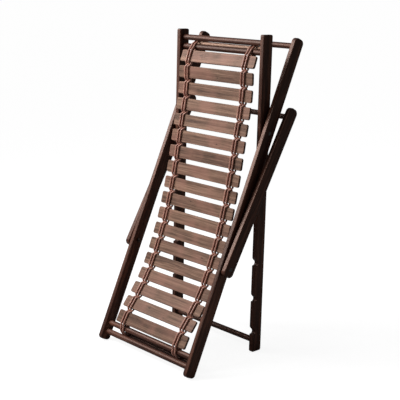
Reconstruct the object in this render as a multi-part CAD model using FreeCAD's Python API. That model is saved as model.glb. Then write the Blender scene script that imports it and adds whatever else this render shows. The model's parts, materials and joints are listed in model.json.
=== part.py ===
import FreeCAD, Part
import math
import os

# Folding deck chair, all sizes in millimetres, all angles in degrees.
# +X is to the right, the front faces -Y, +Z is up, and the floor is z = 0.
# The back frame and the seat frame cross at the frame pivot. The prop frame
# hangs on the back frame. The slatted sling runs between the two cross bars
# nearest the pivot of each frame.

V = FreeCAD.Vector
X_AXIS = V(1, 0, 0)

# ---------------------------------------------------------------- rails
RAIL_THICK = 20.0
RAIL_DEPTH = 47.0
RAIL_EDGE_R = 4.0
RAIL_GAP = 5.0
HALF_DEPTH = RAIL_DEPTH / 2

SEAT_OUTER_X = 236.5
BACK_OUTER_X = SEAT_OUTER_X + RAIL_GAP + RAIL_THICK
PROP_OUTER_X = BACK_OUTER_X + RAIL_GAP + RAIL_THICK

# reach of each rail from its pivot, upwards and downwards in the folded pose
BACK_UP = 366.0
BACK_DOWN = 927.0
SEAT_UP = 353.0
PROP_UP = 635.0
PROP_DOWN = 30.0

# corner radii of the rail ends, seen from the side
BACK_TOP_R = 16.0
BACK_FOOT_R = 14.0
SEAT_TOP_R = 6.0
SEAT_FOOT_R = 8.0
PROP_END_R = 18.0

# ---------------------------------------------------------------- pose
BACK_TILT = 25.0
FOLD_ANGLE = 23.1
PROP_ANGLE = 5.45
FOOT_FLAT = 1.0

# ---------------------------------------------------------------- cross bars
TENON = 12.0
SLING_BAR_R = 11.0
FOOT_STRETCHER_R = 11.0
FOOT_STRETCHER_Z = BACK_UP - 29.0
HEAD_INNER_Z = -(BACK_DOWN - 70.0)
HEAD_OUTER_Z = -(BACK_DOWN - 34.5)
HEAD_OUTER_R = 11.25
FRONT_INNER_Z = SEAT_UP - 66.0
FRONT_OUTER_Z = SEAT_UP - 31.5
FRONT_OUTER_R = 11.0
REAR_STRETCHER_R = 11.0
REAR_STRETCHER_FROM_END = 41.0
PROP_BAR_R = 10.0
PROP_BAR_Z = 601.0

# loose rods that keep the cord loops from slipping out between the bars
HEAD_ROD_R = 8.0
HEAD_ROD_Z = HEAD_INNER_Z - 21.0
HEAD_ROD_Y = 26.0
FRONT_ROD_R = 6.0
FRONT_ROD_Z = FRONT_INNER_Z + 15.0
FRONT_ROD_Y = 15.5
ROD_LEFT_X = -168.0
ROD_RIGHT_X = 208.0
ROD_CHAMFER = 1.0

# ---------------------------------------------------------------- notches
NOTCH_REACH = (493.7, 635.0, 765.0)
NOTCH_R = 10.6
NOTCH_SINK = 4.5
NOTCH_RAMP = 31.0
NOTCH_PROUD = 0.05

# ---------------------------------------------------------------- pivots
STRUT_PIVOT_Z = -514.0
BOLT_R = 4.0
RUNNING_GAP = 0.05
FACE_GAP = 0.2
HEAD_R = 8.0
HEAD_H = 4.0
WASHER_R = 11.0
NUT_R = 7.5
NUT_H = 6.0
NUT_CROWN = 1.2
BOLT_TAIL = 2.0

# ---------------------------------------------------------------- sling
# the sling hangs a little right of the middle
SLING_X = 3.0
SLAT_LENGTH = 402.0
SLAT_WIDTH = 46.0
# extra width at the lower edge of the head slat
HEAD_SLAT_EXTRA = 3.6
SLAT_THICK = 9.0
SLAT_CORNER_R = 7.0
SLAT_EDGE_R = 2.0
SLAT_PITCH = 62.3
END_GAP = 18.85
SLING_OFFSET = 14.6
# tilt of each slat against the back frame, from the seat bar to the head bar
SLAT_TILTS = (4.0, 23.5, 19.0, 13.5, 12.5, 13.5, 14.0, 12.5, 11.0,
              9.5, 7.0, 3.5, 2.0, -0.5, -6.5, -12.0, -15.0, -6.0)

# ---------------------------------------------------------------- cord
CORD_R = 3.4
# the cord columns lie either side of CORD_MIDDLE_X
CORD_MIDDLE_X = 6.5
CORD_PAIR_X = (146.4, 160.6)
CORD_CROSS = 3.8
CORD_SLACK = 0.1
CORD_END_GAP = 2.0
LOOP_GAP = 4.0
LOOP_TURN = 235.0


def turn_and_place(shape, tilt, y, z):
    """Lean a shape back by tilt about the X axis through its own origin, then move it."""
    shape.rotate(V(0, 0, 0), X_AXIS, -tilt)
    shape.translate(V(0, y, z))
    return shape


def leaned(y, z, tilt):
    """Point (y, z) of a frame after the frame leans back by tilt."""
    t = math.radians(tilt)
    return (y * math.cos(t) + z * math.sin(t), -y * math.sin(t) + z * math.cos(t))


def lowest_z(reach, corner_r, tilt):
    """Height of the lowest point of a rail's rounded lower back corner."""
    y, z = leaned(HALF_DEPTH - corner_r, -reach + corner_r, tilt)
    return z - corner_r


SEAT_TILT = BACK_TILT - FOLD_ANGLE
PROP_TILT = BACK_TILT + PROP_ANGLE
FLOOR_Z = lowest_z(BACK_DOWN, BACK_FOOT_R, BACK_TILT) + FOOT_FLAT

# the seat rails are cut to the length that stands both frames on the floor
SEAT_LEAN = math.radians(SEAT_TILT)
SEAT_DOWN = SEAT_FOOT_R + (FOOT_FLAT - FLOOR_Z - SEAT_FOOT_R
                           - (HALF_DEPTH - SEAT_FOOT_R) * math.sin(SEAT_LEAN)) / math.cos(SEAT_LEAN)


def rail_blank(x_outer, side, up, down, top_r, bottom_r):
    """One rail with rounded ends and softened long edges, upright at its pivot."""
    h = HALF_DEPTH
    corners = [(-h, -down, bottom_r), (h, -down, bottom_r), (h, up, top_r), (-h, up, top_r)]
    edges = []
    start = None
    previous = None
    for i, (y, z, r) in enumerate(corners):
        y0, z0, _ = corners[i - 1]
        y2, z2, _ = corners[(i + 1) % 4]
        into = V(0, y - y0, z - z0).normalize()
        out = V(0, y2 - y, z2 - z).normalize()
        corner = V(0, y, z)
        a = corner - into * r
        b = corner + out * r
        middle = corner + (out - into) * r * (1 - math.sqrt(0.5))
        if previous is not None:
            edges.append(Part.LineSegment(previous, a).toShape())
        edges.append(Part.Arc(a, middle, b).toShape())
        if start is None:
            start = a
        previous = b
    edges.append(Part.LineSegment(previous, start).toShape())
    face = Part.Face(Part.Wire(edges))
    rail = face.extrude(V(RAIL_THICK, 0, 0))
    outline = [e for e in rail.Edges if e.BoundBox.XLength < 1e-6]
    rail = rail.makeFillet(RAIL_EDGE_R, outline)
    x_low = x_outer - RAIL_THICK if side > 0 else -x_outer
    rail.translate(V(x_low, 0, 0))
    return rail


def cross_bar(half_length, radius, y, z):
    """A round bar lying along X."""
    return Part.makeCylinder(radius, 2 * half_length, V(-half_length, y, z), X_AXIS)


def bore_through(x_outer, side, radius, z):
    """The drill for a pivot hole right through one rail."""
    x_low = x_outer - RAIL_THICK if side > 0 else -x_outer
    return Part.makeCylinder(radius, RAIL_THICK + 2, V(x_low - 1, 0, z), X_AXIS)


def notch_cutter(z):
    """The hook-shaped cut that catches the prop frame's bar on the front edge: a round
    pocket with a sharp lower lip, led into from above by a rounded swell."""
    front = -HALF_DEPTH - NOTCH_PROUD
    pocket_y = -HALF_DEPTH + NOTCH_SINK
    sink = pocket_y - front
    swell_r = (sink ** 2 + NOTCH_RAMP ** 2 - NOTCH_R ** 2) / (2 * (NOTCH_R + sink))
    bend = math.atan2(NOTCH_RAMP, swell_r - sink)

    def on_swell(angle):
        return V(0, front + swell_r - swell_r * math.cos(angle),
                 z + NOTCH_RAMP - swell_r * math.sin(angle))

    outline = [
        Part.Arc(on_swell(0), on_swell(bend / 2), on_swell(bend)).toShape(),
        Part.makePolygon([on_swell(bend), V(0, pocket_y, z), V(0, pocket_y, z - NOTCH_R),
                          V(0, front - RAIL_THICK, z - NOTCH_R),
                          V(0, front - RAIL_THICK, z + NOTCH_RAMP), on_swell(0)]),
    ]
    edges = [edge for piece in outline for edge in piece.Edges]
    prism = Part.Face(Part.Wire(edges)).extrude(V(2 * BACK_OUTER_X, 0, 0))
    prism.translate(V(-BACK_OUTER_X, 0, 0))
    pocket = cross_bar(BACK_OUTER_X, NOTCH_R, pocket_y, z)
    return pocket.fuse(prism)


def level_foot(rail, tilt):
    """Trim the foot flat so it stands on the floor."""
    box = Part.makeBox(2000, 2000, 200, V(-1000, -1000, FLOOR_Z - 200))
    box.rotate(V(0, 0, 0), X_AXIS, tilt)
    return rail.cut(box)


def back_rail(side):
    rail = rail_blank(BACK_OUTER_X, side, BACK_UP, BACK_DOWN, BACK_TOP_R, BACK_FOOT_R)
    inner = BACK_OUTER_X - RAIL_THICK
    for radius, z in BACK_BARS.values():
        rail = rail.cut(cross_bar(inner + TENON, radius, 0, z))
    rail = rail.cut(bore_through(BACK_OUTER_X, side, BOLT_R, 0))
    rail = rail.cut(bore_through(BACK_OUTER_X, side, BOLT_R, STRUT_PIVOT_Z))
    return level_foot(rail, BACK_TILT)


def seat_rail(side):
    rail = rail_blank(SEAT_OUTER_X, side, SEAT_UP, SEAT_DOWN, SEAT_TOP_R, SEAT_FOOT_R)
    inner = SEAT_OUTER_X - RAIL_THICK
    for radius, z in SEAT_BARS.values():
        rail = rail.cut(cross_bar(inner + TENON, radius, 0, z))
    rail = rail.cut(bore_through(SEAT_OUTER_X, side, BOLT_R + RUNNING_GAP, 0))
    for reach in NOTCH_REACH:
        rail = rail.cut(notch_cutter(-reach))
    return level_foot(rail, SEAT_TILT)


def prop_arm(side):
    arm = rail_blank(PROP_OUTER_X, side, PROP_UP, PROP_DOWN, PROP_END_R, PROP_END_R)
    inner = PROP_OUTER_X - RAIL_THICK
    arm = arm.cut(cross_bar(inner + TENON, PROP_BAR_R, 0, PROP_BAR_Z))
    return arm.cut(bore_through(PROP_OUTER_X, side, BOLT_R + RUNNING_GAP, 0))


BACK_BARS = {
    "foot_stretcher": (FOOT_STRETCHER_R, FOOT_STRETCHER_Z),
    "head_inner_bar": (SLING_BAR_R, HEAD_INNER_Z),
    "head_outer_bar": (HEAD_OUTER_R, HEAD_OUTER_Z),
}
SEAT_BARS = {
    "front_inner_bar": (SLING_BAR_R, FRONT_INNER_Z),
    "front_outer_bar": (FRONT_OUTER_R, FRONT_OUTER_Z),
    "rear_stretcher": (REAR_STRETCHER_R, -(SEAT_DOWN - REAR_STRETCHER_FROM_END)),
}


def loose_rod(radius, y, z):
    """A plain rod whose ends are lightly chamfered."""
    rod = Part.makeCylinder(radius, ROD_RIGHT_X - ROD_LEFT_X, V(ROD_LEFT_X, y, z), X_AXIS)
    return rod.makeChamfer(ROD_CHAMFER, [e for e in rod.Edges if e.BoundBox.XLength < 1e-6])


def both_sides(make):
    return Part.makeCompound([make(1), make(-1)])


def disc(radius, length, x_from, side, hole=0.0):
    """A round disc standing on x_from and growing outwards from the middle of the chair."""
    body = Part.makeCylinder(radius, length, V(0, 0, 0), X_AXIS)
    if hole:
        body = body.cut(Part.makeCylinder(hole, length, V(0, 0, 0), X_AXIS))
    if side > 0:
        body.translate(V(x_from, 0, 0))
    else:
        body.translate(V(-x_from - length, 0, 0))
    return body


def pivot_bolt(side, x_head, x_tail):
    """A domed bolt with its head outside and its tail towards the middle."""
    shank = disc(BOLT_R, x_head - x_tail, x_tail, side)
    ball_r = (HEAD_R ** 2 + HEAD_H ** 2) / (2 * HEAD_H)
    ball = Part.makeSphere(ball_r, V(side * (x_head + HEAD_H - ball_r), 0, 0))
    head = ball.common(disc(HEAD_R, HEAD_H, x_head, side))
    return shank.fuse(head).removeSplitter()


def pivot_nut(side, x_face):
    """A hexagon nut lying against the face at x_face, towards the middle."""
    corners = [V(0, NUT_R * math.cos(math.radians(60 * i)), NUT_R * math.sin(math.radians(60 * i)))
               for i in range(7)]
    nut = Part.Face(Part.makePolygon(corners)).extrude(V(NUT_H, 0, 0))
    x_low = x_face - NUT_H if side > 0 else -x_face
    nut.translate(V(x_low, 0, 0))
    rounder = Part.makeCylinder(NUT_R + NUT_CROWN / 2, NUT_H, V(x_low, 0, 0), X_AXIS)
    rounder = rounder.makeChamfer(NUT_CROWN,
                                  [e for e in rounder.Edges if e.BoundBox.XLength < 1e-6])
    nut = nut.common(rounder)
    return nut.cut(Part.makeCylinder(BOLT_R, NUT_H + 2, V(x_low - 1, 0, 0), X_AXIS))


def frame_pivot_bolt(side):
    tail = SEAT_OUTER_X - RAIL_THICK - FACE_GAP - NUT_H - BOLT_TAIL
    return pivot_bolt(side, BACK_OUTER_X, tail)


def frame_pivot_washer(side):
    return disc(WASHER_R, RAIL_GAP - FACE_GAP, SEAT_OUTER_X + FACE_GAP, side, BOLT_R)


def frame_pivot_nut(side):
    return pivot_nut(side, SEAT_OUTER_X - RAIL_THICK - FACE_GAP)


def strut_pivot_bolt(side):
    tail = BACK_OUTER_X - RAIL_THICK - NUT_H - BOLT_TAIL
    return pivot_bolt(side, PROP_OUTER_X + FACE_GAP, tail)


def strut_pivot_washer(side):
    return disc(WASHER_R, RAIL_GAP - FACE_GAP, BACK_OUTER_X, side, BOLT_R)


def strut_pivot_nut(side):
    return pivot_nut(side, BACK_OUTER_X - RAIL_THICK)


def sling_chain(turn, pitch):
    """Slat tilts and centres, from the seat bar to the head bar in the back frame, and
    where the seat end of the chain lands when it is laid out from the head bar."""
    tilts = [tilt + turn for tilt in SLAT_TILTS]
    y = 0.0
    z = HEAD_INNER_Z
    places = []
    for i in range(len(tilts) - 1, -1, -1):
        t = math.radians(-tilts[i])
        along = (math.sin(t), math.cos(t))
        front = (-math.cos(t), math.sin(t))
        first = i == len(tilts) - 1
        last = i == 0
        if first:
            y += front[0] * SLING_OFFSET
            z += front[1] * SLING_OFFSET
        before = END_GAP + SLAT_WIDTH / 2 if first else pitch / 2
        after = END_GAP + SLAT_WIDTH / 2 if last else pitch / 2
        places.append((tilts[i], y + along[0] * before, z + along[1] * before))
        y += along[0] * (before + after)
        z += along[1] * (before + after)
        if last:
            y -= front[0] * SLING_OFFSET
            z -= front[1] * SLING_OFFSET
    places.reverse()
    return places, (y, z)


def closed_sling():
    """Turn and stretch the chain of slats until its far end lies on the seat bar."""
    goal = leaned(0, FRONT_INNER_Z, -FOLD_ANGLE)
    turn = 0.0
    pitch = SLAT_PITCH
    for _ in range(30):
        places, end = sling_chain(turn, pitch)
        goal_reach = math.hypot(goal[0], goal[1] - HEAD_INNER_Z)
        end_reach = math.hypot(end[0], end[1] - HEAD_INNER_Z)
        goal_angle = math.atan2(-goal[0], goal[1] - HEAD_INNER_Z)
        end_angle = math.atan2(-end[0], end[1] - HEAD_INNER_Z)
        turn += math.degrees(goal_angle - end_angle)
        pitch += (goal_reach - end_reach) / len(SLAT_TILTS)
    return places, pitch


def slat(extra):
    """A flat slat with rounded corners, lying in the XZ plane about its own centre.
    The extra width is added at its lower edge."""
    blank = Part.makeBox(SLAT_LENGTH, SLAT_THICK, SLAT_WIDTH + extra,
                         V(SLING_X - SLAT_LENGTH / 2, -SLAT_THICK / 2,
                           -SLAT_WIDTH / 2 - extra))
    upright = [e for e in blank.Edges if e.BoundBox.YLength > SLAT_THICK / 2
               and e.BoundBox.XLength < 1e-6 and e.BoundBox.ZLength < 1e-6]
    blank = blank.makeFillet(SLAT_CORNER_R, upright)
    outline = [e for e in blank.Edges if e.BoundBox.YLength < 1e-6]
    return blank.makeFillet(SLAT_EDGE_R, outline)


def corded(points_and_arcs):
    """A round cord swept along straight runs and tangent arcs."""
    edges = []
    for piece in points_and_arcs:
        if len(piece) == 2:
            edges.append(Part.LineSegment(piece[0], piece[1]).toShape())
        else:
            edges.append(Part.Arc(piece[0], piece[1], piece[2]).toShape())
    path = Part.Wire(edges)
    start = points_and_arcs[0][0]
    direction = points_and_arcs[0][1] - start
    if len(points_and_arcs[0]) == 3:
        direction = edges[0].tangentAt(edges[0].FirstParameter)
    ring = Part.Wire(Part.Circle(start, direction, CORD_R).toShape())
    return path.makePipeShell([ring], True, True)


def strand(reach_low, reach_high, front, extra):
    """One strand past one slat: over one face, hugging the slat's two long edges.
    It ends on the sling's middle plane at -reach_low and +reach_high."""
    wrap_r = SLAT_EDGE_R + CORD_R + CORD_SLACK
    cy = SLAT_THICK / 2 - SLAT_EDGE_R
    sign = -1 if front else 1

    def half(reach, cz):
        dz = reach - cz
        away = math.hypot(dz, cy)
        lean = math.acos(wrap_r / away) - math.atan2(cy, dz)
        touch = (cy + wrap_r * math.sin(lean), cz + wrap_r * math.cos(lean))
        half_way = (math.pi / 2 + lean) / 2
        middle = (cy + wrap_r * math.sin(half_way), cz + wrap_r * math.cos(half_way))
        top = (cy + wrap_r, cz)
        return touch, middle, top

    def at(y, z):
        return V(0, sign * y, z)

    edge = SLAT_WIDTH / 2 - SLAT_EDGE_R
    low_touch, low_middle, low_top = half(reach_low, edge + extra)
    high_touch, high_middle, high_top = half(reach_high, edge)
    return corded([
        (at(0, -reach_low), at(low_touch[0], -low_touch[1])),
        (at(low_touch[0], -low_touch[1]), at(low_middle[0], -low_middle[1]),
         at(low_top[0], -low_top[1])),
        (at(low_top[0], -low_top[1]), at(high_top[0], high_top[1])),
        (at(high_top[0], high_top[1]), at(high_middle[0], high_middle[1]),
         at(high_touch[0], high_touch[1])),
        (at(high_touch[0], high_touch[1]), at(0, reach_high)),
    ])


def lashing(number, pitch):
    """The eight strands held by one slat: four at each end of the slat."""
    count = len(SLAT_TILTS)
    reach_low = pitch / 2 - CORD_END_GAP
    reach_high = pitch / 2 - CORD_END_GAP
    extra = 0.0
    if number == count:
        reach_low = SLAT_WIDTH / 2 + END_GAP - LOOP_GAP
        extra = HEAD_SLAT_EXTRA
    if number == 1:
        reach_high = SLAT_WIDTH / 2 + END_GAP - LOOP_GAP
    slant = math.degrees(math.atan(2 * CORD_CROSS / pitch))
    strands = []
    for side in (1, -1):
        for x in CORD_PAIR_X:
            for front in (True, False):
                one = strand(reach_low, reach_high, front, extra)
                one.rotate(V(0, 0, 0), V(0, 1, 0), slant if front else -slant)
                one.translate(V(CORD_MIDDLE_X + side * x, 0, 0))
                strands.append(one)
    return Part.makeCompound(strands)


def cord_loop(x, bar_z, rod_y, rod_z, rod_r, start_angle):
    """One strand from the sling's tangent point round a bar, through the slit and round
    the rod behind it. Angles run from straight in front of the bar towards the rod's end."""
    up = 1 if rod_z > bar_z else -1
    wrap_r = rod_r + CORD_R + CORD_SLACK
    dz = abs(rod_z - bar_z)
    lift_off = (math.pi - math.acos((SLING_OFFSET - wrap_r) / math.hypot(dz, rod_y))
                - math.atan2(dz, rod_y))
    start = math.radians(start_angle)
    end = lift_off + math.radians(LOOP_TURN)

    def on_bar(q):
        return V(x, -SLING_OFFSET * math.cos(q), bar_z + up * SLING_OFFSET * math.sin(q))

    def on_rod(q):
        return V(x, rod_y - wrap_r * math.cos(q), rod_z + up * wrap_r * math.sin(q))

    return corded([
        (on_bar(start), on_bar((start + lift_off) / 2), on_bar(lift_off)),
        (on_bar(lift_off), on_rod(lift_off)),
        (on_rod(lift_off), on_rod((lift_off + end) / 2), on_rod(end)),
    ])


def cord_loops(bar_z, rod_y, rod_z, rod_r, start_angle):
    """The eight loops at one end of the sling, two for each pair of strands."""
    loops = []
    for side in (1, -1):
        for x in CORD_PAIR_X:
            for shift in (CORD_CROSS, -CORD_CROSS):
                loops.append(cord_loop(CORD_MIDDLE_X + side * x + shift, bar_z, rod_y, rod_z,
                                       rod_r, start_angle))
    return Part.makeCompound(loops)


def build():
    """Every piece in place, in the folded pose, with the frame pivot at the origin."""
    shapes = {}
    back = (BACK_TILT, 0.0, 0.0)
    seat = (SEAT_TILT, 0.0, 0.0)
    strut_y, strut_z = leaned(0, STRUT_PIVOT_Z, BACK_TILT)
    prop = (PROP_TILT, strut_y, strut_z)
    at_strut = (BACK_TILT, strut_y, strut_z)

    def add(name, shape, place):
        shapes[name] = turn_and_place(shape, *place)

    for side, word in ((1, "right"), (-1, "left")):
        add("back_rail_" + word, back_rail(side), back)
        add("seat_rail_" + word, seat_rail(side), seat)
        add("prop_arm_" + word, prop_arm(side), prop)

    for name, (radius, z) in BACK_BARS.items():
        half = BACK_OUTER_X - RAIL_THICK + TENON
        add(name, cross_bar(half, radius, 0, z), back)
    for name, (radius, z) in SEAT_BARS.items():
        half = SEAT_OUTER_X - RAIL_THICK + TENON
        add(name, cross_bar(half, radius, 0, z), seat)
    half = PROP_OUTER_X - RAIL_THICK + TENON
    add("prop_crossbar", cross_bar(half, PROP_BAR_R, 0, PROP_BAR_Z), prop)
    add("head_rod", loose_rod(HEAD_ROD_R, HEAD_ROD_Y, HEAD_ROD_Z), back)
    add("front_rod", loose_rod(FRONT_ROD_R, FRONT_ROD_Y, FRONT_ROD_Z), seat)

    add("frame_pivot_bolts", both_sides(frame_pivot_bolt), back)
    add("frame_pivot_washers", both_sides(frame_pivot_washer), back)
    add("frame_pivot_nuts", both_sides(frame_pivot_nut), back)
    add("strut_pivot_bolts", both_sides(strut_pivot_bolt), at_strut)
    add("strut_pivot_washers", both_sides(strut_pivot_washer), at_strut)
    add("strut_pivot_nuts", both_sides(strut_pivot_nut), at_strut)

    places, pitch = closed_sling()
    for number, (tilt, y, z) in enumerate(places, start=1):
        place = (BACK_TILT - tilt,) + leaned(y, z, BACK_TILT)
        extra = HEAD_SLAT_EXTRA if number == len(places) else 0.0
        add("slat_%02d" % number, slat(extra), place)
        add("lashing_%02d" % number, lashing(number, pitch), place)

    add("head_cord_loops",
        cord_loops(HEAD_INNER_Z, HEAD_ROD_Y, HEAD_ROD_Z, HEAD_ROD_R, places[-1][0]), back)
    add("front_cord_loops",
        cord_loops(FRONT_INNER_Z, FRONT_ROD_Y, FRONT_ROD_Z, FRONT_ROD_R,
                   FOLD_ANGLE - places[0][0]), seat)
    return shapes


def main():
    shapes = build()
    whole = Part.makeCompound([s for n, s in shapes.items() if "rail" in n or "arm" in n])
    box = whole.optimalBoundingBox(False, False)
    move = V(0, -(box.YMin + box.YMax) / 2, -FLOOR_Z)
    os.makedirs("parts", exist_ok=True)
    for name, shape in shapes.items():
        shape.translate(move)
        shape.exportStep("parts/%s.step" % name)
        if not shape.isValid():
            print("not valid:", name)
    print("%d pieces, frame pivot at y %.4f z %.4f" % (len(shapes), move.y, move.z))


main()
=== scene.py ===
import json
import math

import bpy
import numpy as np
from mathutils import Matrix, Vector


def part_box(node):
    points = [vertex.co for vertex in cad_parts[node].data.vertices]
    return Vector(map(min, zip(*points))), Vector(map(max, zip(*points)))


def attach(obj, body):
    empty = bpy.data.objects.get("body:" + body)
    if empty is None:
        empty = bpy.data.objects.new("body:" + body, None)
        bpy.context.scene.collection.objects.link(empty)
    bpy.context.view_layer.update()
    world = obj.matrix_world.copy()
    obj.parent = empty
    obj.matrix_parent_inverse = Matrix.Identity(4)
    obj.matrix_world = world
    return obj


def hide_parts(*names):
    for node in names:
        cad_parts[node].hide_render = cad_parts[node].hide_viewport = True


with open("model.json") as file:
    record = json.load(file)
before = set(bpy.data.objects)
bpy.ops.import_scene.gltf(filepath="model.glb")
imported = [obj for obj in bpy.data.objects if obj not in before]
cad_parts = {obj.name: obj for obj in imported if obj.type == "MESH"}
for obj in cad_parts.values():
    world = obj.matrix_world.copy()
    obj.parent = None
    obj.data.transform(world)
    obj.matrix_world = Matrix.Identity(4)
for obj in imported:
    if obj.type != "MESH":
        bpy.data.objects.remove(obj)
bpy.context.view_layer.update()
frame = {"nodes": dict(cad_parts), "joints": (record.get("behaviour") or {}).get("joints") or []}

MM = 0.001

# Folding deck chair, standing nearly folded on the head end of its back rails.
# +X is to the right, the slats face -Y, +Z is up. Sizes of the cords are in millimetres.

# ---------------------------------------------------------------- camera
VIEW_AZIMUTH = 47.75
VIEW_ELEVATION = 13.756
VIEW_DISTANCE = 3.634
VIEW_TARGET = Vector((0.0527, -0.0344, 0.5840))
LENS = 87.3
SENSOR = 36.0

# ---------------------------------------------------------------- sling
SLAT_COUNT = 18
SLAT_WIDTH = 46.0
SLAT_THICK = 9.0
HEAD_SLAT_EXTRA = 3.6
RAIL_DEPTH = 47.0
RAIL_THICK = 20.0

CORD_R = 3.8
CORD_LIFT = SLAT_THICK / 2 + CORD_R + 0.1
CORD_MIDDLE_X = 6.5
CORD_PAIR_X = (146.4, 160.6)
CORD_HALF_TWIST = 3.8
CORD_OVERRUN = 0.8
EDGE_REACH = 3.0
TWIST_REACH = 12.0
FRONT_DRIFT = (-1.0, -1.0, 1.0)
BACK_DRIFT = (1.0, -0.55, -1.0)
CORD_COLUMNS = [CORD_MIDDLE_X + side * x for side in (-1, 1) for x in CORD_PAIR_X]
BAR_WRAP = 15.0
BAR_OVERRUN = 2.5
BACK_LEAVE = 285.0
HEAD_ROD_R = 8.0
FRONT_ROD_R = 6.0
BRAID_SIDES = 16
BRAID_STEP = 1.0
BRAID_PICK = 5.2
BRAID_RELIEF = 0.045


def centre(node):
    low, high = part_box(node)
    return (Vector(low) + Vector(high)) / 2


def bar_axis(node):
    """Middle of a bar or rod, in the plane x = 0."""
    middle = centre(node)
    middle.x = 0
    return middle


def joint_place(name):
    for joint in frame["joints"]:
        if joint["name"] == name:
            return Vector(joint["pos_m"])
    raise KeyError(name)


def towards(start, end):
    """Unit vector from start to end, seen from the side."""
    step = Vector((0, end.y - start.y, end.z - start.z))
    return step.normalized()


FRAME_PIVOT = joint_place("frame_fold")
STRUT_PIVOT = joint_place("prop_swing")
BACK_UP = towards(STRUT_PIVOT, FRAME_PIVOT)
SEAT_UP = towards(centre("rear_stretcher"), FRAME_PIVOT)
PROP_UP = towards(STRUT_PIVOT, centre("prop_crossbar"))
RIGHT = Vector((1, 0, 0))


# ---------------------------------------------------------------- camera and light
def make_camera():
    azimuth = math.radians(VIEW_AZIMUTH)
    elevation = math.radians(VIEW_ELEVATION)
    back = Vector((math.sin(azimuth) * math.cos(elevation),
                   -math.cos(azimuth) * math.cos(elevation),
                   math.sin(elevation)))
    data = bpy.data.cameras.new("camera")
    data.lens = LENS
    data.sensor_width = SENSOR
    data.clip_end = 200
    camera = bpy.data.objects.new("camera", data)
    camera.location = VIEW_TARGET + back * VIEW_DISTANCE
    camera.rotation_euler = (math.pi / 2 - elevation, 0, azimuth)
    bpy.context.scene.collection.objects.link(camera)
    bpy.context.scene.camera = camera


def make_sun(name, strength, spread, direction):
    """A wide, soft light that comes from direction."""
    data = bpy.data.lights.new(name, "SUN")
    data.energy = strength
    data.angle = math.radians(spread)
    light = bpy.data.objects.new(name, data)
    light.rotation_euler = Vector(direction).to_track_quat("Z", "Y").to_euler()
    bpy.context.scene.collection.objects.link(light)


def make_softbox(place, aim, width, height, power):
    """A large rectangular lamp at place, turned towards aim."""
    data = bpy.data.lights.new("softbox", "AREA")
    data.shape = "RECTANGLE"
    data.size = width
    data.size_y = height
    data.energy = power
    light = bpy.data.objects.new("softbox", data)
    light.location = place
    light.rotation_euler = (Vector(place) - Vector(aim)).to_track_quat("Z", "Y").to_euler()
    bpy.context.scene.collection.objects.link(light)


def seen_or_lighting(tree, seen, lighting, out):
    """One shader for what the camera sees, another for the light it gives the chair."""
    mix = tree.nodes.new("ShaderNodeMixShader")
    path = tree.nodes.new("ShaderNodeLightPath")
    tree.links.new(path.outputs["Is Camera Ray"], mix.inputs[0])
    tree.links.new(lighting.outputs[0], mix.inputs[1])
    tree.links.new(seen.outputs[0], mix.inputs[2])
    tree.links.new(mix.outputs[0], out.inputs["Surface"])


def make_world(seen, lighting):
    """White to look at, dimmer as a light."""
    world = bpy.data.worlds.new("studio")
    bpy.context.scene.world = world
    world.use_nodes = True
    tree = world.node_tree
    tree.nodes.clear()
    shades = []
    for strength in (seen, lighting):
        shade = tree.nodes.new("ShaderNodeBackground")
        shade.inputs["Color"].default_value = (1, 1, 1, 1)
        shade.inputs["Strength"].default_value = strength
        shades.append(shade)
    seen_or_lighting(tree, *shades, tree.nodes.new("ShaderNodeOutputWorld"))


def make_floor(glow, grip, bounce):
    """A pale floor: it glows a little, so that the soft shadows on it stay light."""
    size = 40.0
    mesh = bpy.data.meshes.new("floor")
    corners = [(-size, -size, 0), (size, -size, 0), (size, size, 0), (-size, size, 0)]
    mesh.from_pydata(corners, [], [(0, 1, 2, 3)])
    floor = bpy.data.objects.new("floor", mesh)
    bpy.context.scene.collection.objects.link(floor)
    material = bpy.data.materials.new("floor")
    material.use_nodes = True
    tree = material.node_tree
    pale = tree.nodes["Principled BSDF"]
    pale.inputs["Base Color"].default_value = (grip, grip, grip, 1)
    pale.inputs["Roughness"].default_value = 1.0
    pale.inputs["Specular IOR Level"].default_value = 0.0
    pale.inputs["Emission Color"].default_value = (1, 1, 1, 1)
    pale.inputs["Emission Strength"].default_value = glow
    dim = tree.nodes.new("ShaderNodeBsdfDiffuse")
    dim.inputs["Color"].default_value = (bounce, bounce, bounce, 1)
    seen_or_lighting(tree, pale, dim, tree.nodes["Material Output"])
    mesh.materials.append(material)


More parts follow.
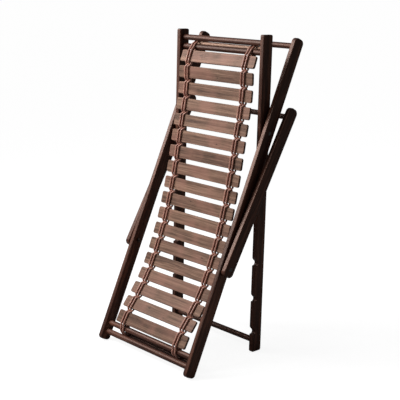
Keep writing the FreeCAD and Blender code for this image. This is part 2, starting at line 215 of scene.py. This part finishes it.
# ---------------------------------------------------------------- material helpers
class Shade:
    """A small helper that adds nodes to one material."""

    def __init__(self, name):
        self.material = bpy.data.materials.new(name)
        self.material.use_nodes = True
        self.tree = self.material.node_tree
        self.shader = self.tree.nodes["Principled BSDF"]

    def add(self, kind, settings=None, **sockets):
        node = self.tree.nodes.new(kind)
        for key, value in (settings or {}).items():
            setattr(node, key, value)
        for key, value in sockets.items():
            self.feed(node.inputs[key.replace("_", " ")], value)
        return node

    def feed(self, socket, value):
        if isinstance(value, bpy.types.NodeSocket):
            self.tree.links.new(value, socket)
        elif isinstance(value, (tuple, list, Vector)) and socket.type == "RGBA":
            socket.default_value = (*value, 1)
        else:
            socket.default_value = value

    def maths(self, operation, a, b=0.0, c=0.0):
        node = self.add("ShaderNodeMath", {"operation": operation})
        for socket, value in zip(node.inputs, (a, b, c)):
            self.feed(socket, value)
        return node.outputs[0]

    def noise(self, vector, scale, seed, detail=4.0, rough=0.55):
        node = self.add("ShaderNodeTexNoise", {"noise_dimensions": "4D"}, Vector=vector,
                        W=seed, Scale=scale, Detail=detail, Roughness=rough)
        return node.outputs["Fac"]

    def stretch(self, vector, x, y, z):
        node = self.add("ShaderNodeVectorMath", {"operation": "MULTIPLY"})
        self.feed(node.inputs[0], vector)
        node.inputs[1].default_value = (x, y, z)
        return node.outputs[0]

    def smooth(self, value, low, high, out_low=0.0, out_high=1.0):
        node = self.add("ShaderNodeMapRange", {"interpolation_type": "SMOOTHSTEP"})
        for key, number in (("Value", value), ("From Min", low), ("From Max", high),
                            ("To Min", out_low), ("To Max", out_high)):
            self.feed(node.inputs[key], number)
        return node.outputs["Result"]

    def mix(self, factor, a, b):
        node = self.add("ShaderNodeMix", {"data_type": "RGBA"})
        self.feed(node.inputs[0], factor)
        self.feed(node.inputs[6], a)
        self.feed(node.inputs[7], b)
        return node.outputs[2]

    def ramp(self, factor, stops):
        node = self.add("ShaderNodeValToRGB", Fac=factor)
        elements = node.color_ramp.elements
        while len(elements) < len(stops):
            elements.new(0.5)
        for element, (place, colour) in zip(elements, stops):
            element.position = place
            element.color = (*colour, 1)
        return node.outputs[0]


def local_place(shade, middle, grain, up):
    """Coordinates in metres about middle: along the grain, through and across."""
    side = up.cross(grain)
    turn = Matrix((grain, side, up))
    coords = shade.add("ShaderNodeTexCoord")
    mapping = shade.add("ShaderNodeMapping", Vector=coords.outputs["Object"])
    mapping.inputs["Rotation"].default_value = turn.to_euler()
    mapping.inputs["Location"].default_value = -(turn @ middle)
    return mapping.outputs[0]


# ---------------------------------------------------------------- wood
def wood(name, middle, grain, up, seed, tones, shine, half=None, knots=(), streaks=1.0, tint=None):
    """Stained wood whose grain runs along one direction of the piece.

    tones: dark, middle and light colour of the grain. half: half sizes through and across
    a flat-sided piece, so that its edges wear lighter. knots: places along and across."""
    shade = Shade(name)
    place = local_place(shade, middle, grain, up)
    wander = shade.noise(shade.stretch(place, 5, 22, 22), 1.0, seed, 2.0)
    parts = shade.add("ShaderNodeSeparateXYZ", Vector=place)
    along, through, across = parts.outputs
    bend = shade.maths("MULTIPLY_ADD", wander, 0.016, -0.008)
    dark_knots = None
    for number, (knot_along, knot_across, size) in enumerate(knots):
        da = shade.maths("SUBTRACT", along, knot_along)
        dc = shade.maths("SUBTRACT", across, knot_across)
        far = shade.maths("SQRT", shade.maths(
            "ADD", shade.maths("MULTIPLY", shade.maths("MULTIPLY", da, da), 0.16),
            shade.maths("MULTIPLY", dc, dc)))
        near = shade.smooth(far, 0.0, size * 3.2, 1.0, 0.0)
        push = shade.maths("MULTIPLY", shade.maths("SIGN", dc), near)
        bend = shade.maths("MULTIPLY_ADD", push, -size * 0.9, bend)
        heart = shade.smooth(far, size * 0.25, size * 0.75, 1.0, 0.0)
        dark_knots = heart if dark_knots is None else shade.maths("MAXIMUM", dark_knots, heart)
    warped = shade.add("ShaderNodeCombineXYZ", X=along,
                       Y=shade.maths("ADD", through, bend), Z=shade.maths("ADD", across, bend))
    warped = warped.outputs[0]
    bands = shade.noise(shade.stretch(warped, 2.2, 60, 115), 1.0, seed + 3.1, 5.0, 0.62)
    lines = shade.noise(shade.stretch(warped, 9, 420, 520), 1.0, seed + 7.7, 4.0, 0.6)
    pores = shade.noise(shade.stretch(warped, 70, 1500, 1700), 1.0, seed + 11.3, 2.0, 0.5)
    blotch = shade.noise(shade.stretch(place, 4, 26, 26), 1.0, seed + 17.9, 3.0, 0.5)
    figure = shade.maths("MULTIPLY_ADD", shade.maths("SUBTRACT", bands, 0.5), 2.1 * streaks, 0.5)
    figure = shade.maths("MULTIPLY_ADD", shade.maths("SUBTRACT", lines, 0.5), 1.6 * streaks, figure)
    figure = shade.maths("MULTIPLY_ADD", shade.maths("SUBTRACT", blotch, 0.5), 0.45, figure)
    colour = shade.ramp(figure, [(0.12, tones[0]), (0.5, tones[1]), (0.88, tones[2])])
    pore_mask = shade.smooth(pores, 0.60, 0.72)
    colour = shade.mix(shade.maths("MULTIPLY", pore_mask, 0.55), colour, tones[0])
    if tint is not None:
        patch = shade.smooth(shade.noise(place, 9.0, seed + 23.0, 2.0), 0.42, 0.68)
        colour = shade.mix(shade.maths("MULTIPLY", patch, 0.45), colour, tint)
    if dark_knots is not None:
        knot_colour = [tone * 0.35 for tone in tones[0]]
        colour = shade.mix(shade.maths("MULTIPLY", dark_knots, 0.85), colour, knot_colour)
    worn = None
    if half is not None:
        gap_through = shade.maths("SUBTRACT", half[0], shade.maths("ABSOLUTE", through))
        gap_across = shade.maths("SUBTRACT", half[1], shade.maths("ABSOLUTE", across))
        from_edge = shade.maths("ADD", shade.maths("MAXIMUM", gap_through, 0.0),
                                shade.maths("MAXIMUM", gap_across, 0.0))
        rub = shade.noise(shade.stretch(place, 14, 60, 60), 1.0, seed + 31.0, 3.0)
        worn = shade.maths("MULTIPLY", shade.smooth(from_edge, 0.0004, 0.0042, 1.0, 0.0),
                           shade.smooth(rub, 0.35, 0.7))
        colour = shade.mix(shade.maths("MULTIPLY", worn, 0.5), colour, tones[2])
    facing = shade.add("ShaderNodeVectorMath", {"operation": "DOT_PRODUCT"})
    shade.feed(facing.inputs[0], shade.add("ShaderNodeTexCoord").outputs["Normal"])
    facing.inputs[1].default_value = grain
    end = shade.smooth(shade.maths("ABSOLUTE", facing.outputs["Value"]), 0.55, 0.92)
    rings = shade.noise(shade.stretch(warped, 20, 900, 300), 1.0, seed + 41.0, 3.0)
    end_tone = shade.mix(shade.smooth(rings, 0.35, 0.65), [0.5 * c for c in tones[0]], tones[1])
    colour = shade.mix(shade.maths("MULTIPLY", end, 0.75), colour, end_tone)
    shade.feed(shade.shader.inputs["Base Color"], colour)
    gloss = shade.maths("MULTIPLY_ADD", blotch, 0.22, shine - 0.11)
    gloss = shade.maths("MULTIPLY_ADD", lines, 0.12, gloss)
    shade.feed(shade.shader.inputs["Roughness"], gloss)
    height = shade.maths("MULTIPLY_ADD", pore_mask, -0.6, shade.maths("MULTIPLY", lines, 0.8))
    bump = shade.add("ShaderNodeBump", Strength=0.35, Distance=0.0006, Height=height)
    shade.feed(shade.shader.inputs["Normal"], bump.outputs[0])
    return shade


FRAME_TONES = ((0.009, 0.0018, 0.0012), (0.046, 0.0135, 0.0083), (0.138, 0.052, 0.032))
SLAT_TONES = ((0.030, 0.013, 0.008), (0.128, 0.068, 0.043), (0.270, 0.160, 0.108))
PLAIN_TONES = ((0.66, 0.36, 0.25), (0.84, 0.53, 0.38), (0.93, 0.68, 0.52))


def dress(node, material):
    """Give a CAD node one material."""
    piece = frame["nodes"][node]
    while len(piece.material_slots) > 1:
        piece.data.materials.pop()
    if not piece.material_slots:
        piece.data.materials.append(material)
    piece.material_slots[0].material = material


def dress_rails():
    for seed, (kind, up) in enumerate((("back_rail", BACK_UP), ("seat_rail", SEAT_UP),
                                       ("prop_arm", PROP_UP))):
        for side, word in enumerate(("left", "right")):
            node = "%s_%s" % (kind, word)
            look = wood(node, centre(node), up, RIGHT, 5.0 + 2.3 * seed + 1.1 * side, FRAME_TONES,
                        0.34, half=(RAIL_DEPTH / 2 * MM, RAIL_THICK / 2 * MM))
            polish(look, 0.5)
            dress(node, look.material)


def polish(look, level):
    """A warm varnish: level is the strength of its gloss."""
    look.shader.inputs["Specular IOR Level"].default_value = level
    look.shader.inputs["Specular Tint"].default_value = (1.0, 0.68, 0.55, 1)


def dress_bars():
    bars = ("foot_stretcher", "head_inner_bar", "head_outer_bar", "front_inner_bar",
            "front_outer_bar", "rear_stretcher", "prop_crossbar", "head_rod")
    for seed, node in enumerate(bars):
        look = wood(node, centre(node), RIGHT, Vector((0, 0, 1)), 20.0 + 1.7 * seed,
                    FRAME_TONES, 0.42)
        polish(look, 0.5)
        dress(node, look.material)
    look = wood("front_rod", centre("front_rod"), RIGHT, Vector((0, 0, 1)), 41.0, PLAIN_TONES, 0.6,
                streaks=0.7)
    dress("front_rod", look.material)


def slat_frame(number):
    """Middle of a slat, its direction towards the next slat up, and its front direction."""
    piece = frame["nodes"]["slat_%02d" % number]
    points = np.empty(len(piece.data.vertices) * 3, np.float32)
    piece.data.vertices.foreach_get("co", points)
    points = points.reshape(-1, 3)[:, 1:]
    middle = (points.max(axis=0) + points.min(axis=0)) / 2
    _, vectors = np.linalg.eigh(np.cov((points - middle).T))
    up = Vector((0, vectors[0, 1], vectors[1, 1]))
    if up.z < 0:
        up.negate()
    front = RIGHT.cross(up)
    if front.y > 0:
        front.negate()
    return Vector((0, middle[0], middle[1])), up, front


SLAT_KNOTS = {
    1: ((-0.085, 0.004, 0.0052),),
    6: ((0.060, -0.006, 0.004),),
    2: ((0.02, -0.010, 0.0035),),
    10: ((-0.03, 0.010, 0.0045),),
    13: ((0.105, 0.002, 0.004),),
    17: ((-0.055, 0.004, 0.0055), (0.04, -0.012, 0.0035)),
}
ROSY = (0.30, 0.135, 0.10)


def dress_slats():
    for number in range(1, SLAT_COUNT + 1):
        middle, up, _ = slat_frame(number)
        lighter = 1.0 + 0.10 * math.sin(number * 2.4)
        # the slats after the ninth are made darker, step by step towards the head end at the bottom
        lower = 1.0 - 0.018 * max(0, number - 9)
        tones = [[c * lighter * lower for c in tone] for tone in SLAT_TONES]
        look = wood("slat_%02d" % number, middle, RIGHT, up, 60.0 + 3.7 * number, tones, 0.50,
                    half=(SLAT_THICK / 2 * MM, SLAT_WIDTH / 2 * MM),
                    knots=SLAT_KNOTS.get(number, ()), tint=ROSY)
        polish(look, 0.5)
        dress("slat_%02d" % number, look.material)


# ---------------------------------------------------------------- metal
def dress_metal():
    shade = Shade("blued_steel")
    coords = shade.add("ShaderNodeTexCoord")
    cloud = shade.noise(coords.outputs["Object"], 140.0, 3.0, 4.0)
    scratch = shade.noise(shade.stretch(coords.outputs["Object"], 300, 2600, 2600), 1.0, 8.0, 3.0)
    colour = shade.ramp(cloud, [(0.3, (0.055, 0.05, 0.05)), (0.7, (0.17, 0.155, 0.15))])
    shade.feed(shade.shader.inputs["Base Color"], colour)
    shade.shader.inputs["Metallic"].default_value = 1.0
    shade.feed(shade.shader.inputs["Roughness"], shade.smooth(scratch, 0.3, 0.7, 0.28, 0.46))
    bump = shade.add("ShaderNodeBump", Strength=0.2, Distance=0.0002, Height=scratch)
    shade.feed(shade.shader.inputs["Normal"], bump.outputs[0])
    for place in ("frame_pivot", "strut_pivot"):
        for kind in ("bolts", "washers", "nuts"):
            dress("%s_%s" % (place, kind), shade.material)


# ---------------------------------------------------------------- cords
def cord_material():
    """Waxed braided cord with painted shade and painted highlight: the hollows between the picks
    are painted darker and the crowns lighter.
    """
    shade = Shade("cord")
    coords = shade.add("ShaderNodeTexCoord")
    crown = shade.add("ShaderNodeAttribute", {"attribute_name": "crown"})
    fibre = shade.noise(shade.stretch(coords.outputs["Object"], 1500, 1500, 500), 1.0, 2.0, 3.0)
    soil = shade.noise(coords.outputs["Object"], 30.0, 5.0, 3.0)
    # painted shade and painted highlight: lit runs from dark in the braid's hollows to light on its
    # crowns
    lit = shade.maths("MULTIPLY_ADD", shade.maths("SUBTRACT", fibre, 0.5), 0.5,
                      crown.outputs["Fac"])
    lit = shade.maths("MULTIPLY_ADD", shade.maths("SUBTRACT", soil, 0.5), 0.6, lit)
    colour = shade.ramp(lit, [(0.0, (0.055, 0.012, 0.008)), (0.5, (0.300, 0.115, 0.078)),
                              (1.0, (0.62, 0.320, 0.235))])
    shade.feed(shade.shader.inputs["Base Color"], colour)
    shade.feed(shade.shader.inputs["Roughness"], shade.smooth(fibre, 0.3, 0.7, 0.30, 0.46))
    shade.shader.inputs["Sheen Weight"].default_value = 0.15
    bump = shade.add("ShaderNodeBump", Strength=0.3, Distance=0.0003, Height=fibre)
    shade.feed(shade.shader.inputs["Normal"], bump.outputs[0])
    return shade.material


def even_steps(points, step):
    """Points at even steps along a path, close to step apart."""
    points = np.asarray(points, float)
    lengths = np.r_[0, np.cumsum(np.linalg.norm(np.diff(points, axis=0), axis=1))]
    count = max(2, int(round(lengths[-1] / step)) + 1)
    wanted = np.linspace(0, lengths[-1], count)
    return np.stack([np.interp(wanted, lengths, points[:, k]) for k in range(3)], axis=1), wanted


def braid(path, phase=0.0):
    """Vertices, faces and crown heights of a braided cord along a path in millimetres."""
    centres, travel = even_steps(path, BRAID_STEP)
    tangents = np.gradient(centres, axis=0)
    tangents /= np.linalg.norm(tangents, axis=1)[:, None]
    normal = np.cross(tangents[0], (1.0, 0.0, 0.0))
    if np.linalg.norm(normal) < 0.1:
        normal = np.cross(tangents[0], (0.0, 1.0, 0.0))
    normals = []
    for tangent in tangents:
        normal = normal - tangent * np.dot(normal, tangent)
        normal = normal / np.linalg.norm(normal)
        normals.append(normal)
    normals = np.array(normals)
    sides = np.cross(tangents, normals)
    angles = np.arange(BRAID_SIDES) * 2 * math.pi / BRAID_SIDES
    wave = np.cos(4 * angles[None, :] + 2 * math.pi * (travel[:, None] + phase) / BRAID_PICK)
    cross = np.cos(4 * angles[None, :] - 2 * math.pi * (travel[:, None] + phase) / BRAID_PICK)
    crown = np.maximum(wave, cross)
    radius = CORD_R * (1 - BRAID_RELIEF + BRAID_RELIEF * crown)
    rings = (centres[:, None, :]
             + radius[:, :, None] * (np.cos(angles)[None, :, None] * normals[:, None, :]
                                     + np.sin(angles)[None, :, None] * sides[:, None, :]))
    count = len(centres)
    vertices = np.concatenate([rings.reshape(-1, 3), centres[[0, -1]]])
    faces = []
    for i in range(count - 1):
        for j in range(BRAID_SIDES):
            k = (j + 1) % BRAID_SIDES
            a, b = i * BRAID_SIDES, (i + 1) * BRAID_SIDES
            faces.append((a + j, a + k, b + k, b + j))
    first, last = count * BRAID_SIDES, count * BRAID_SIDES + 1
    end = (count - 1) * BRAID_SIDES
    for j in range(BRAID_SIDES):
        k = (j + 1) % BRAID_SIDES
        faces.append((first, k, j))
        faces.append((last, end + j, end + k))
    crowns = np.r_[(crown.ravel() + 1) / 2, 0.3, 0.3]
    return vertices, faces, crowns


def cord_piece(name, paths, material):
    """One mesh of several braided cords, from paths in metres."""
    vertices, faces, crowns = [], [], []
    start = 0
    for number, path in enumerate(paths):
        points, quads, heights = braid([[c / MM for c in p] for p in path], 1.7 * number)
        vertices.append(points)
        faces += [tuple(start + i for i in face) for face in quads]
        crowns.append(heights)
        start += len(points)
    mesh = bpy.data.meshes.new(name)
    mesh.from_pydata((np.concatenate(vertices) * MM).tolist(), [], faces)
    attribute = mesh.attributes.new("crown", "FLOAT", "POINT")
    attribute.data.foreach_set("value", np.concatenate(crowns).astype(np.float32))
    mesh.polygons.foreach_set("use_smooth", [True] * len(mesh.polygons))
    mesh.materials.append(material)
    mesh.update()
    piece = bpy.data.objects.new(name, mesh)
    bpy.context.scene.collection.objects.link(piece)
    return piece


def strand(number, pitch, x, front, low=True, high=True):
    """Path of one strand past a slat, in metres. It dives to the sling's middle plane in the
    middle of each gap and passes its partner there, so the pair is twined by half a turn.
    The drift says how far it lies to the side below, on and above the slat."""
    middle, up, face = slat_frame(number)
    sign = 1 if front else -1
    below, beside, above = FRONT_DRIFT if front else BACK_DRIFT
    reach = pitch / 2
    rise = reach - SLAT_WIDTH / 2 + EDGE_REACH
    path = []
    steps = 44
    for i in range(steps + 1):
        s = (2 * i / steps - 1) * (reach + CORD_OVERRUN)
        if (s < 0 and not low) or (s > 0 and not high):
            continue
        u = min(1.0, (reach - abs(s)) / rise)
        lift = CORD_LIFT * math.sin(math.pi / 2 * u)
        turn = min(1.0, max(0.0, (abs(s) - reach + TWIST_REACH) / TWIST_REACH))
        turn = 0.5 - 0.5 * math.cos(math.pi * turn)
        drift = CORD_HALF_TWIST * (beside + ((above if s > 0 else below) - beside) * turn)
        path.append(middle + up * (s * MM) + face * (sign * lift * MM)
                    + RIGHT * ((x + drift) * MM))
    return path


def gap_pitch():
    """Distance between the middles of neighbouring slats along the sling, as the mean of
    four gaps in its middle."""
    spans = []
    for number in range(8, 12):
        a, up_a, _ = slat_frame(number)
        b, up_b, _ = slat_frame(number + 1)
        half_turn = up_a.angle(up_b) / 2
        spans.append((a - b).length / math.cos(half_turn))
    return sum(spans) / len(spans) / MM


def circle_run(middle, radius, ahead, up, start, end, x, count=14):
    """Points of an arc in the plane x, from angle start to end; 0 is ahead, 90 is up."""
    run = []
    for i in range(count + 1):
        q = math.radians(start + (end - start) * i / count)
        run.append(middle + ahead * (radius * MM * math.cos(q)) + up * (radius * MM * math.sin(q))
                   + RIGHT * (x * MM))
    return run


def straight(a, b, count=6):
    """Evenly spaced points from a to b."""
    return [a.lerp(b, i / count) for i in range(count + 1)]


def bar_run(number, bar, outward, extra, x):
    """The strand from the middle of the end slat up its front and on to the front of the bar."""
    middle, up, face = slat_frame(number)
    bar_middle = bar_axis(bar)
    shift = RIGHT * (x * MM)
    low = middle + face * (CORD_LIFT * MM) + shift
    edge = low + up * (outward * (SLAT_WIDTH / 2 - EDGE_REACH + extra) * MM)
    goal = bar_middle + face * (BAR_WRAP * MM) + shift
    ahead = (goal - edge).normalized()
    return straight(low, edge) + straight(edge, goal)[1:] + [goal + ahead * (BAR_OVERRUN * MM)]


def back_run(number, bar, outward, x):
    """The strand from the back of the bar down the back of the end slat to its middle."""
    middle, up, face = slat_frame(number)
    bar_middle = bar_axis(bar)
    shift = RIGHT * (x * MM)
    away = up * outward
    low = middle - face * (CORD_LIFT * MM) + shift
    edge = low + away * ((SLAT_WIDTH / 2 - EDGE_REACH) * MM)
    leave = math.radians(BACK_LEAVE)
    start = bar_middle + shift + (face * math.cos(leave) + away * math.sin(leave)) * (BAR_WRAP * MM)
    behind = (start - edge).normalized()
    return [start + behind * (BAR_OVERRUN * MM)] + straight(start, edge) + straight(edge, low)[1:]


def end_loop(number, bar, rod, rod_r, x, outward):
    """One cord from the front of the bar over and round the rod behind it and back along
    the far side of the bar."""
    _, up, face = slat_frame(number)
    away = up * outward
    bar_middle = bar_axis(bar)
    rod_middle = bar_axis(rod)
    wrap = rod_r + CORD_R + 0.1
    across = rod_middle - bar_middle
    distance = across.length / MM
    line = math.degrees(math.atan2(across.dot(away), across.dot(face)))
    lift_off = line - math.degrees(math.acos(max(-1, min(1, (BAR_WRAP - wrap) / distance))))
    run = circle_run(bar_middle, BAR_WRAP, face, away, 0, lift_off, x)
    run += circle_run(rod_middle, wrap, face, away, lift_off, 205.0, x, 20)
    return run + circle_run(bar_middle, BAR_WRAP, face, away, 195.0, BACK_LEAVE, x)


def make_cords():
    material = cord_material()
    pitch = gap_pitch()
    columns = [x - CORD_HALF_TWIST for x in CORD_COLUMNS]
    for number in range(1, SLAT_COUNT + 1):
        paths = []
        for x in CORD_COLUMNS:
            for front in (True, False):
                paths.append(strand(number, pitch, x, front,
                                    low=number < SLAT_COUNT, high=number > 1))
        if number == 1:
            paths += [bar_run(number, "front_inner_bar", 1, 0.0, x) for x in columns]
            paths += [back_run(number, "front_inner_bar", 1, x) for x in columns]
        if number == SLAT_COUNT:
            paths += [bar_run(number, "head_inner_bar", -1, HEAD_SLAT_EXTRA, x)
                      for x in columns]
            paths += [back_run(number, "head_inner_bar", -1, x) for x in columns]
        piece = cord_piece("cords_%02d" % number, paths, material)
        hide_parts("lashing_%02d" % number)
        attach(piece, "sling_%02d" % number)
    front = cord_piece("front_loops", [end_loop(1, "front_inner_bar", "front_rod", FRONT_ROD_R,
                                                x, 1) for x in columns], material)
    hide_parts("front_cord_loops")
    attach(front, "seat_frame")
    head = cord_piece("head_loops", [end_loop(SLAT_COUNT, "head_inner_bar", "head_rod", HEAD_ROD_R,
                                              x, -1) for x in columns], material)
    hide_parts("head_cord_loops")
    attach(head, "back_frame")


make_camera()
make_cords()
dress_rails()
dress_bars()
dress_slats()
dress_metal()
make_floor(glow=0.89, grip=0.26, bounce=0.30)
make_world(seen=1.05, lighting=0.13)
make_sun("fill", strength=1.0, spread=60, direction=(-0.50, -0.60, 1.0))
make_softbox((-1.30, -1.25, 1.90), aim=(0, 0, 0.85), width=1.3, height=1.3, power=58)
bpy.context.scene.view_settings.view_transform = "Standard"
